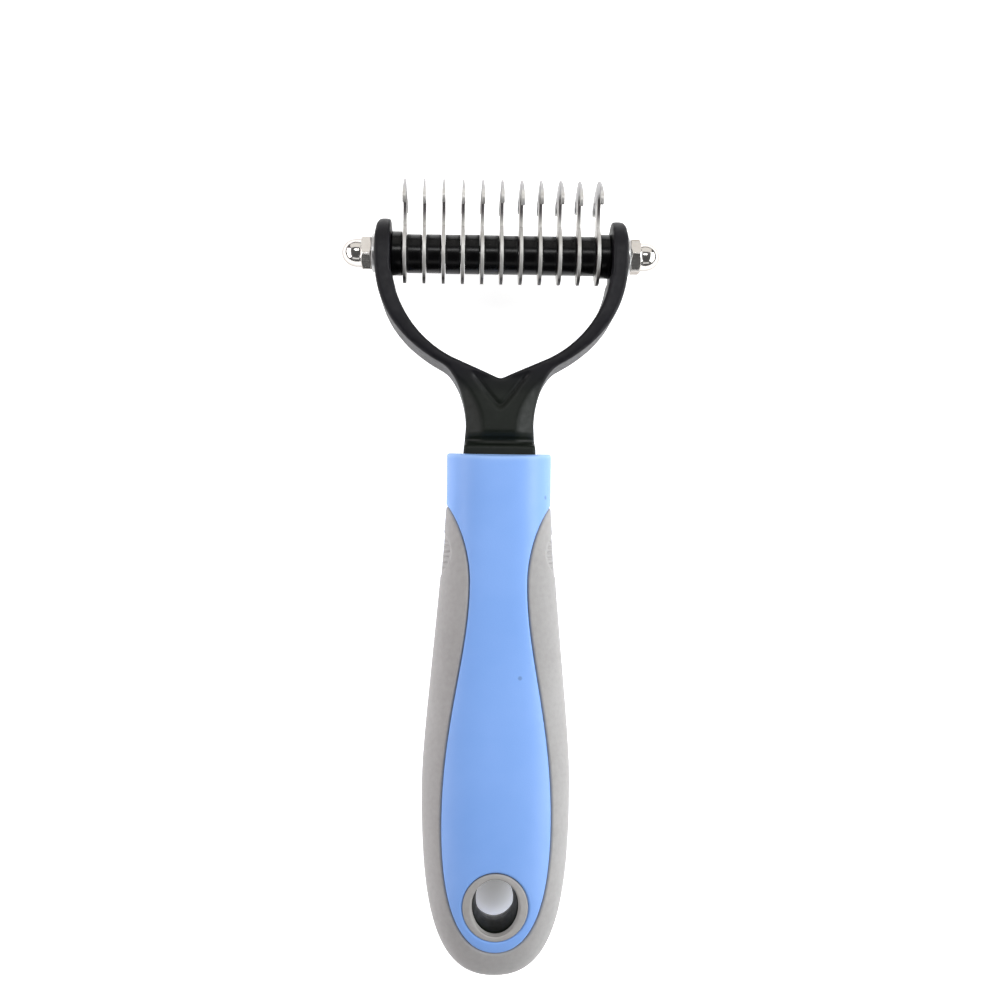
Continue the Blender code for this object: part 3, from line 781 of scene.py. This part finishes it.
class Sheet:
    """Closed body built on the unrolled quarter of the handle, then mirrored to all four quarters."""

    def __init__(self):
        self.points, self.faces = [], []

    def row(self, places, depth):
        """Adds a line of points at a depth and returns their numbers."""
        start = len(self.points)
        self.points += surface_inset(np.array(places), np.full(len(places), depth)).tolist()
        return list(range(start, len(self.points)))

    def raw_row(self, points):
        """Adds a line of points as they are and returns their numbers."""
        start = len(self.points)
        self.points += [tuple(point) for point in points]
        return list(range(start, len(self.points)))

    def bridge(self, first, second):
        """Quads between two rows."""
        for i in range(len(first) - 1):
            self.faces.append((first[i], first[i + 1], second[i + 1], second[i]))

    def rounding(self, moved, radius, strips=5):
        """Rounds an edge over; moved gives the edge moved in by a distance.

        Returns the inner line, which lies on the handle's surface, and the outer row, a radius below it.
        """
        rows = []
        for angle in np.radians(np.linspace(90, 0, strips + 1)):
            line = moved(radius * (1 - math.sin(angle)))
            rows.append(self.row(line, radius * (1 - math.cos(angle))))
        for first, second in zip(rows, rows[1:]):
            self.bridge(first, second)
        return line, rows[0]

    def fill(self, outline, depth, spacing, relief=None):
        """Triangles over the inside of a closed line of the sheet."""
        outline = np.array(outline)
        low, high = outline.min(0), outline.max(0)
        inside = []
        rows = int((high[1] - low[1]) / (spacing * 0.866)) + 1
        for r in range(rows):
            y = low[1] + (r + 0.5) * spacing * 0.866
            for x in np.arange(low[0] + (0.5 if r % 2 else 0.0) * spacing, high[0], spacing):
                inside.append((x, y))
        inside = np.array(inside)
        keep = inside_of(inside, outline) & (distance_to(inside, outline) > 0.45 * spacing)
        places = np.r_[outline, inside[keep]]
        made = delaunay_2d_cdt([Vector(p) for p in places], [], [list(range(len(outline)))], 1, 1e-7)
        flat = np.array([tuple(v) for v in made[0]])
        depths = np.full(len(flat), depth) if relief is None else depth + relief(flat)
        start = len(self.points)
        self.points += surface_inset(flat, depths).tolist()
        self.faces += [tuple(start + i for i in face) for face in made[2]]

    def mesh(self, name):
        """All four quarters welded into one closed body in the comb's frame."""
        points, faces = [], []
        for sx, sz in ((1, 1), (-1, 1), (1, -1), (-1, -1)):
            start = len(points)
            points += [(sx * x, COLLAR_TOP + y, AXLE.z + sz * z) for x, y, z in self.points]
            faces += [tuple(start + i for i in face) for face in self.faces]
        return mesh_of(name, points, faces)


def inside_of(points, outline):
    """True for each point inside a closed line."""
    x, y = points[:, 0][:, None], points[:, 1][:, None]
    x0, y0 = outline[:, 0], outline[:, 1]
    x1, y1 = np.roll(x0, -1), np.roll(y0, -1)
    crosses = (y0 > y) != (y1 > y)
    at = x0 + (y - y0) * (x1 - x0) / np.where(y1 == y0, 1e-12, y1 - y0)
    return (crosses & (x < at)).sum(1) % 2 == 1


def distance_to(points, outline):
    """Distance from each point to a closed line."""
    nearest = np.full(len(points), 1e9)
    for start, end in zip(outline, np.roll(outline, -1, axis=0)):
        way = end - start
        share = np.clip((points - start) @ way / max(way @ way, 1e-18), 0, 1)
        nearest = np.minimum(nearest, np.linalg.norm(points - start - share[:, None] * way, axis=1))
    return nearest


def straight(start, end, spacing):
    """Points between two places of the sheet, both ends left out."""
    start, end = np.array(start), np.array(end)
    count = max(1, round(np.linalg.norm(end - start) / spacing))
    return [start + (end - start) * i / count for i in range(1, count)]


def side_line(run_from, run_to, spacing):
    """Points down the side line between two runs, both ends left out."""
    count = max(1, round(abs(run_to - run_from) / spacing))
    runs = [run_from + (run_to - run_from) * i / count for i in range(1, count)]
    return [(float(quarter_round(run)), run) for run in runs]


def hole_edge():
    """Edge of the bezel's seat on the sheet, from above the hole round to below it."""
    room = [half + GROOVE for half in BEZEL_HALF]
    angles = np.linspace(math.pi / 2, -math.pi / 2, 40)
    x = room[0] * np.cos(angles)
    distance = (COLLAR_TOP - HOLE.y) - room[1] * np.sin(angles)
    edge = on_sheet(x, distance)
    edge[0, 0] = edge[-1, 0] = 0.0
    return edge


def add_core():
    """Blue moulding: collar, front and back panels, and the waist that the grip is moulded round."""
    sheet = Sheet()
    edge = panel_edge(0.0)
    inner, lip = sheet.rounding(lambda inset: shifted(edge, inset), EDGE_ROUND)
    sheet.bridge(lip, sheet.row(edge, SKIN + GROOVE))

    hole = hole_edge()
    away = hole - (0.0, hole[:, 1].mean())
    away /= np.linalg.norm(away, axis=1)[:, None]
    ring, hole_lip = sheet.rounding(lambda inset: hole + inset * away, EDGE_ROUND)
    sheet.bridge(hole_lip, sheet.raw_row([(*sheet.points[i][:2], 0.0) for i in hole_lip]))

    corner = (float(quarter_round(0)), 0.0)
    top = np.array(joined([(0, 0)], straight((0, 0), corner, COLLAR_SPACING), [corner]))
    top[:, 1] = collar_fall(surface(top[:, 0], top[:, 1])[:, 2])
    shoulder, end_row = sheet.rounding(lambda inset: top + (0, inset), COLLAR_ROUND, 6)
    neck_socket(sheet, end_row)

    outline = joined(shoulder, side_line(shoulder[-1][1], inner[0][1], SPACING), inner,
                     straight(inner[-1], ring[-1], SPACING), ring[::-1], straight(ring[0], shoulder[0], SPACING))
    sheet.fill(outline, 0.0, SPACING)
    under = joined(edge[::-1], side_line(edge[0][1], RUN_END, SPACING), [BUTT_END],
                   straight(BUTT_END, edge[-1], SPACING))
    sheet.fill(under, SKIN + GROOVE, 2 * SPACING)
    add_piece("handle_core_blue", sheet.mesh("core"), "handle", ["handle_core"], BLUE)


def collar_fall(height):
    """Drop of the collar's end at a height above the middle plane."""
    return COLLAR_FALL * (height / (COLLAR_HALF * COLLAR_FLATNESS)) ** 2


def neck_socket(sheet, top_row):
    """Flat end of the collar, and the socket in it that the fork's neck comes out of."""
    rim = []
    for i in top_row:
        angle = math.atan2(sheet.points[i][0], sheet.points[i][2])
        sine, cosine = math.sin(angle), math.cos(angle)
        wide, high = abs(sine) / SOCKET_HALF[0], abs(cosine) / SOCKET_HALF[1]
        reach = (wide ** SOCKET_POWER + high ** SOCKET_POWER) ** (-1 / SOCKET_POWER)
        rim.append((reach * sine, -collar_fall(reach * cosine), reach * cosine))
    rim[0] = (0.0, *rim[0][1:])
    rim[-1] = (rim[-1][0], 0.0, 0.0)
    rim_row = sheet.raw_row(rim)
    sheet.bridge(top_row, rim_row)
    floor_row = sheet.raw_row([(x, -SOCKET_DEPTH, z) for x, _, z in rim])
    sheet.bridge(rim_row, floor_row)
    centre = sheet.raw_row([(0.0, -SOCKET_DEPTH, 0.0)])[0]
    for first, second in zip(floor_row, floor_row[1:]):
        sheet.faces.append((first, second, centre))


def rib_relief(places):
    """Depth of the thumb ribs at places of the sheet."""
    run_centre = float(np.interp(RIB_CENTRE_AT, DISTANCE, RUN))
    from_side = quarter_round(places[:, 1]) - places[:, 0]
    along = places[:, 1] - run_centre
    oval = np.sqrt((from_side / RIB_REACH[0]) ** 2 + (along / RIB_REACH[1]) ** 2)
    inside = smooth_step(1 - oval, 0.0, 0.07)
    cut = smooth_step(1 - oval, 0.08, 0.20) * smooth_step(from_side, *RIB_FADE)
    wave = (0.5 - 0.5 * np.cos(2 * math.pi * along / RIB_PITCH)) ** 2
    return RIB_RECESS * inside + RIB_DEPTH * cut * wave


def add_grip():
    """Grey overmould: one skin over both sides and the butt."""
    sheet = Sheet()
    edge = panel_edge(-GROOVE)
    inner, lip = sheet.rounding(lambda inset: shifted(edge, -inset), EDGE_ROUND)
    sheet.bridge(lip, sheet.row(edge, SKIN))
    rib_end = float(np.interp(RIB_CENTRE_AT + RIB_REACH[1] + 0.001, DISTANCE, RUN))
    split = int(np.argmax(inner[:, 1] > rib_end))
    corner = (float(quarter_round(rib_end)), rib_end)
    cut = straight(inner[split], corner, RIB_SPACING)
    upper = joined(inner[:split + 1], cut, [corner], side_line(rib_end, inner[0][1], RIB_SPACING))
    sheet.fill(upper, 0.0, RIB_SPACING, rib_relief)
    lower = joined(inner[split:], straight(inner[-1], BUTT_END, GRIP_SPACING), [BUTT_END],
                   side_line(RUN_END, rib_end, GRIP_SPACING), [corner], cut[::-1])
    sheet.fill(lower, 0.0, GRIP_SPACING)
    under = joined(edge, straight(edge[-1], BUTT_END, 2 * GRIP_SPACING), [BUTT_END],
                   side_line(RUN_END, edge[0][1], 2 * GRIP_SPACING))
    sheet.fill(under, SKIN, 2 * GRIP_SPACING)
    add_piece("grip_overmould_grey", sheet.mesh("grip"), "handle", ["grip_overmould"], GREY)


def surface_height(x, distance):
    """Height of the handle's front above its middle plane, seen from the front."""
    half = np.interp(distance, DISTANCE, HALF_WIDTH)
    return half * flatness(distance) * (1 - (abs(x) / half) ** SECTION_POWER) ** (1 / SECTION_POWER)


def add_bezels():
    """Soft rings round the hang hole, flush with the panel, with a wide mouth and a narrower throat."""
    segments, radius, lip = 96, 0.00035, 0.00049
    seat = EYE_HALF_DEPTH + GROOVE
    hole_at = COLLAR_TOP - HOLE.y

    def ring(halves, grow, height):
        """Points of an ellipse; a height below zero is measured down from the handle's surface."""
        points = []
        for x, y in ellipse((0, 0), [half + grow for half in halves], segments):
            z = height if height > 0 else surface_height(x, hole_at - y) + height
            points.append((x, HOLE.y + y, z))
        return points

    rings = [ring(BEZEL_HALF, 0, seat)]
    for angle in np.radians(np.linspace(0, 90, 6)):
        shrink, drop = radius * (1 - math.cos(angle)), radius * (1 - math.sin(angle))
        rings.append(ring(BEZEL_HALF, -shrink, -drop - WELD))
    for angle in np.radians(np.linspace(90, 8, 7)):
        rings.append(ring(MOUTH_HALF, lip * (1 - math.cos(angle)), -lip * (1 - math.sin(angle)) - WELD))
    rings.append(ring([0.6 * m + 0.4 * t for m, t in zip(MOUTH_HALF, THROAT_HALF)], 0, FUNNEL_HEIGHT))
    rings.append(ring(THROAT_HALF, 0, seat))
    points = [point for line in rings for point in line]
    faces = ring_faces(len(rings), segments, closed=True)
    for side, turn in (("front", 0.0), ("back", math.pi)):
        mesh = mesh_of("bezel", points, faces)
        mesh.transform(Matrix.Translation((0, 0, AXLE.z)) @ Matrix.Rotation(turn, 4, 'Y'))
        node = f"hang_bezel_{side}"
        add_piece(f"{node}_ring", mesh, "handle", [node], BEZEL_GREY)


# --- Fork ----------------------------------------------------------------------------------------

ARM_INNER = 0.0242
ARM_OUTER = 0.0276
ARM_STEP = 0.0002
BOSS_RADIUS = 0.0075
ARM_CENTRE_Y = -0.0020
V_ROOT_Y = -0.0281
NECK_HALF = 0.0074
ARM_HANDLES = ((ARM_OUTER, -0.0135), (0.0216, -0.0204))
ELBOW = (0.0126, -0.0252)
NECK_HANDLES = ((0.0096, -0.0270), (NECK_HALF, -0.0330))
NECK_TOP = (NECK_HALF, -0.0385)
NECK_DEPTH = 0.0062
TANG_TOP_HALF = 0.0079
TANG_HALF = 0.0045
TANG_DEPTH = 0.0030
EYE_HALF = (0.0071, 0.0079)
EYE_HOLE_HALF = (0.00415, 0.0051)
FORK_VOXEL = 0.00032
COLLAR_Y = COLLAR_TOP - AXLE.y
HOLE_Y = HOLE.y - AXLE.y
BOSS_CORNER = [(ARM_OUTER - 0.0009, BOSS_RADIUS), (ARM_OUTER - 0.0003, 0.0055), (ARM_OUTER, 0.0030)]
SHOULDER_Y = COLLAR_Y - 0.0100
TANG_TAPER = 0.0120
SIDE_TAPER = [(BOSS_RADIUS, -0.0140), (0.0068, -0.0240), (NECK_DEPTH, -0.0310)]
TANG_STEP = (0.0090, 0.0150)
EYE_REACH = (0.0109, 0.0089)

# Relief of the neck's face. Pairs are heights above the axle between which a part of it comes in.
RELIEF_SPAN = (-0.0255, COLLAR_Y - 0.001)
PLATEAU_HALF = 0.00365
PLATEAU_FLARE = 42.0
FLARE_Y = -0.0392
SCOOP_SLOPE = 0.56
SCOOP_WIDTH = 0.0042
SCOOP_TOP = (-0.0272, -0.0310)
SCOOP_FOOT = (-0.0428, -0.0414)
CREASE_DEPTH = 0.00012
CREASE_AT = 0.0001
CREASE_WIDTH = 0.00025
SEAM_Y = -0.0340
SEAM_ROUND = 0.0007
SEAM_RUN = 0.75
SEAM_DEPTH = 0.00060
SEAM_WIDTH = 0.00034
SEAM_TOP = (-0.0262, -0.0282)
RECESS_DEPTH = 0.00040
RECESS_EDGE = (-0.0002, 0.00025)
STEP_DEPTH = 0.0008
STEP_TOP = (-0.0407, -0.0411)
STEP_FOOT = (-0.0427, -0.0423)
CHAMFER_DEPTH = 0.0007
CHAMFER_TOP = (-0.0394, -0.0408)
BAND_DEPTH = 0.00035
BAND_TOP = (-0.0421, -0.0427)


def fork_outline():
    """Right half of the fork's front outline, down to the bottom of the eye."""
    half = [(0, V_ROOT_Y)]
    half += arc((0, ARM_CENTRE_Y), ARM_INNER - ARM_STEP, -70, -8, 30)
    half += [(ARM_INNER, -END_SPACER_RADIUS - ARM_STEP), (ARM_INNER, BOSS_RADIUS)]
    half += BOSS_CORNER
    half += [(ARM_OUTER, ARM_CENTRE_Y)]
    half += [tuple(p) for p in bezier((ARM_OUTER, ARM_CENTRE_Y), *ARM_HANDLES, ELBOW, 30)]
    half += [tuple(p) for p in bezier(ELBOW, *NECK_HANDLES, NECK_TOP, 18)]
    half += [(TANG_TOP_HALF, COLLAR_Y), (TANG_TOP_HALF, SHOULDER_Y), (TANG_HALF, SHOULDER_Y - TANG_TAPER)]
    eye_meet = math.degrees(math.acos(TANG_HALF / EYE_HALF[0]))
    angles = np.radians(np.linspace(eye_meet, -90, 30))
    half += [(EYE_HALF[0] * math.cos(a), HOLE_Y + EYE_HALF[1] * math.sin(a)) for a in angles]
    return mirrored([(float(x), float(y)) for x, y in half])


def fork_side():
    """Fork seen from the side as (depth, y), down to the bottom of the eye."""
    half = [(0, BOSS_RADIUS)] + arc((0, 0), BOSS_RADIUS, 84, 0, 20)
    half += SIDE_TAPER
    half += [(NECK_DEPTH, COLLAR_Y - TANG_STEP[0]), (TANG_DEPTH, COLLAR_Y - TANG_STEP[1])]
    half += [(TANG_DEPTH, HOLE_Y + EYE_REACH[0])]
    half += [(EYE_HALF_DEPTH, HOLE_Y + EYE_REACH[1]), (EYE_HALF_DEPTH, HOLE_Y - EYE_REACH[1])]
    return mirrored(half)


def neck_relief(x, y):
    """How far the neck's face lies below its raised middle plateau."""
    x = np.abs(x)
    outside = x - (PLATEAU_HALF + PLATEAU_FLARE * np.maximum(y - FLARE_Y, 0) ** 2)
    scoop = SCOOP_SLOPE * np.clip(outside, 0, SCOOP_WIDTH)
    crease = CREASE_DEPTH * np.exp(-((outside - CREASE_AT) / CREASE_WIDTH) ** 2)
    fade = smooth_step(y, *SCOOP_TOP) * smooth_step(y, *SCOOP_FOOT)
    above_seam = y - SEAM_Y - (np.sqrt(x * x + SEAM_ROUND ** 2) - SEAM_ROUND) / SEAM_RUN
    from_seam = above_seam * (SEAM_RUN / math.hypot(1, SEAM_RUN))
    top = smooth_step(y, *SEAM_TOP)
    recess = RECESS_DEPTH * smooth_step(from_seam, *RECESS_EDGE) * top
    groove = SEAM_DEPTH * np.exp(-(from_seam / SEAM_WIDTH) ** 2) * top
    foot = smooth_step(y, *STEP_FOOT)
    step = STEP_DEPTH * smooth_step(y, *STEP_TOP) * foot
    chamfer = CHAMFER_DEPTH * smooth_step(y, *CHAMFER_TOP) * foot
    band = BAND_DEPTH * smooth_step(y, *BAND_TOP)
    return np.maximum((scoop + crease) * fade, 0) + recess + groove + np.maximum(step + chamfer, band)


def add_fork():
    """Black moulding: two arms with round bosses, the relief on the neck, the hidden tang and the eye."""
    hole = ellipse((0, HOLE_Y), EYE_HOLE_HALF, 64)
    fork = helper("fork", plate([fork_outline(), hole], 4 * BOSS_RADIUS))
    tools = [boolean(fork, 'INTERSECT', plate([fork_side()], 4 * ARM_OUTER), ON_EDGE)]
    bore = plate([ellipse((0, 0), (BORE_RADIUS, BORE_RADIUS), 40)], 4 * ARM_OUTER)
    tools.append(boolean(fork, 'DIFFERENCE', bore, Matrix.Rotation(math.pi / 2, 4, 'Y')))
    remesh = fork.modifiers.new("even", 'REMESH')
    remesh.mode = 'VOXEL'
    remesh.voxel_size = FORK_VOXEL
    mesh = baked(fork)
    for tool in tools:
        bpy.data.objects.remove(tool, do_unlink=True)
    places = np.empty(len(mesh.vertices) * 3)
    mesh.vertices.foreach_get("co", places)
    places = places.reshape(-1, 3)
    edges = np.empty(len(mesh.edges) * 2, int)
    mesh.edges.foreach_get("vertices", edges)
    edges = edges.reshape(-1, 2)
    places = smoothed(places, edges, 10)
    neck = (places[:, 1] < RELIEF_SPAN[0]) & (places[:, 1] > RELIEF_SPAN[1])
    places[neck, 2] *= 1 - neck_relief(places[neck, 0], places[neck, 1]) / NECK_DEPTH
    places = smoothed(places, edges, 1)
    places = flared_eye(places)
    mesh.vertices.foreach_set("co", (places + np.array(AXLE)).ravel())
    mesh.update()
    add_piece("fork_moulding", mesh, "handle", ["fork"], NYLON, math.radians(60))


def flared_eye(places):
    """The eye's hole opened out from its middle to both faces, as wide there as the bezels' throats."""
    across = places[:, 0] / EYE_HOLE_HALF[0]
    along = (places[:, 1] - HOLE_Y) / EYE_HOLE_HALF[1]
    reach = np.hypot(across, along)
    near = smooth_step(reach, 1.6, 1.05)
    depth = np.clip(np.abs(places[:, 2]) / EYE_HALF_DEPTH, 0, 1) ** 1.5
    grow = near * depth * (THROAT_HALF[0] / EYE_HOLE_HALF[0] - 1)
    moved = places.copy()
    moved[:, 0] += grow * places[:, 0]
    moved[:, 1] += grow * (places[:, 1] - HOLE_Y)
    return moved


def smoothed(places, edges, rounds):
    """Points moved halfway to the mean of their neighbours, some times over."""
    count = np.bincount(edges.ravel(), minlength=len(places))[:, None]
    for _ in range(rounds):
        total = np.stack([
            np.bincount(edges[:, 0], places[edges[:, 1], k], len(places))
            + np.bincount(edges[:, 1], places[edges[:, 0], k], len(places)) for k in range(3)], axis=1)
        places = 0.5 * places + 0.5 * total / count
    return places


# --- Studio --------------------------------------------------------------------------------------

SHADE_REACH = (0.0110, 0.0150)
FLOOR_GLOW = (0.22, 0.74)
FLOOR_HEIGHT = -0.0004
FLOOR_REACH = 3.0
# A shallow dip in the floor under the head, where the blades swing below the handle's back
DIP_DEPTH = 0.0044
DIP_REACH = (0.026, 0.090)
AMBIENT = 0.09
BACKDROP = 0.82


def area_light(name, place, target, size, power, colour=(1, 1, 1)):
    lamp = bpy.data.lights.new(name, 'AREA')
    lamp.shape = 'RECTANGLE'
    lamp.size, lamp.size_y = size
    lamp.energy = power
    lamp.color = colour
    holder = bpy.data.objects.new(name, lamp)
    holder.location = place
    holder.rotation_euler = (Vector(target) - Vector(place)).to_track_quat('-Z', 'Y').to_euler()
    bpy.context.scene.collection.objects.link(holder)


def floor_sheet():
    """Flat round floor with the dip under the head."""
    radii = np.r_[np.linspace(0.004, DIP_REACH[1], 40), FLOOR_REACH]
    segments = 96
    points = [(0, AXLE.y, -DIP_DEPTH)]
    for radius in radii:
        height = DIP_DEPTH * (smooth_step(radius, *DIP_REACH) - 1)
        points += [(x, y, height) for x, y in ellipse((0, AXLE.y), (radius, radius), segments)]
    faces = [(0, 1 + i, 1 + (i + 1) % segments) for i in range(segments)]
    faces += [face[::-1] for face in ring_faces(len(radii), segments, 1)]
    mesh = bpy.data.meshes.new("floor")
    mesh.from_pydata(points, [], faces)
    mesh.shade_smooth()
    return mesh


def add_studio():
    floor_mesh = floor_sheet()
    floor = bpy.data.objects.new("floor", floor_mesh)
    floor.location.z = FLOOR_HEIGHT
    bpy.context.scene.collection.objects.link(floor)
    white = Finish("floor_white", 0.8)
    white.colour(white.ramp(white.noise(6, 2), ((0.3, (0.90, 0.90, 0.90)), (0.7, (0.93, 0.93, 0.93)))))
    white.shader.inputs["Emission Color"].default_value = (1, 1, 1, 1)
    # Painted shadow: the floor's glow is turned down under the butt, where the floor is seen through the hang
    # hole
    off_hole = white.node('ShaderNodeVectorMath', Vector=white.place)
    off_hole.operation = 'DISTANCE'
    off_hole.inputs[1].default_value = (HOLE.x, HOLE.y, 0.0)
    glow = white.range(off_hole.outputs["Value"], SHADE_REACH[0], SHADE_REACH[1], *FLOOR_GLOW)
    white.links.new(glow, white.shader.inputs["Emission Strength"])
    floor_mesh.materials.append(white.material)

    world = bpy.data.worlds.new("studio")
    world.use_nodes = True
    ambient = world.node_tree.nodes["Background"]
    ambient.inputs["Color"].default_value = (1.0, 1.0, 1.0, 1.0)
    # The backdrop itself is seen pale, and adds no more than the ambient light
    seen = world.node_tree.nodes.new('ShaderNodeMapRange')
    seen.inputs["To Min"].default_value = AMBIENT
    seen.inputs["To Max"].default_value = BACKDROP
    path = world.node_tree.nodes.new('ShaderNodeLightPath')
    world.node_tree.links.new(path.outputs["Is Camera Ray"], seen.inputs["Value"])
    world.node_tree.links.new(seen.outputs["Result"], ambient.inputs["Strength"])
    bpy.context.scene.world = world

    middle = (0, 0, AXLE.z)
    area_light("key_right", (0.42, 0.02, 0.25), middle, (0.60, 0.24), 2.55, (0.97, 0.99, 1.0))
    area_light("fill_left", (-0.42, 0.0, 0.23), middle, (0.60, 0.24), 1.38, (1.0, 0.97, 0.99))
    area_light("head", (0, 0.46, 0.25), (0, AXLE.y, AXLE.z), (0.80, 0.36), 0.80, (1.0, 0.97, 0.93))
    area_light("foot", (0, -0.44, 0.30), middle, (0.70, 0.13), 0.24)
    area_light("strip", (0, AXLE.y + 0.13, AXLE.z + 0.5), AXLE, (0.34, 0.07), 0.66)


def add_camera():
    """Straight above the comb, a little to its left, with the whole length in view."""
    distance, lean, roll = 0.300, math.radians(-1.3), math.radians(0.6)
    target = Vector((0.0005, AXLE.y - 0.0710, AXLE.z))
    back = Vector((math.sin(lean), 0, math.cos(lean)))
    data = bpy.data.cameras.new("camera")
    data.lens = 48.8
    data.sensor_width = 36
    data.shift_y = 0.076
    camera = bpy.data.objects.new("camera", data)
    bpy.context.scene.collection.objects.link(camera)
    camera.matrix_world = (Matrix.Translation(target + back * distance)
                           @ Matrix.Rotation(lean, 4, 'Y') @ Matrix.Rotation(roll, 4, 'Z'))
    bpy.context.scene.camera = camera


add_blades()
add_spacers()
add_fasteners()
add_core()
add_grip()
add_bezels()
add_fork()
add_studio()
add_camera()
bpy.context.scene.view_settings.view_transform = 'Standard'

bpy.context.view_layer.update()
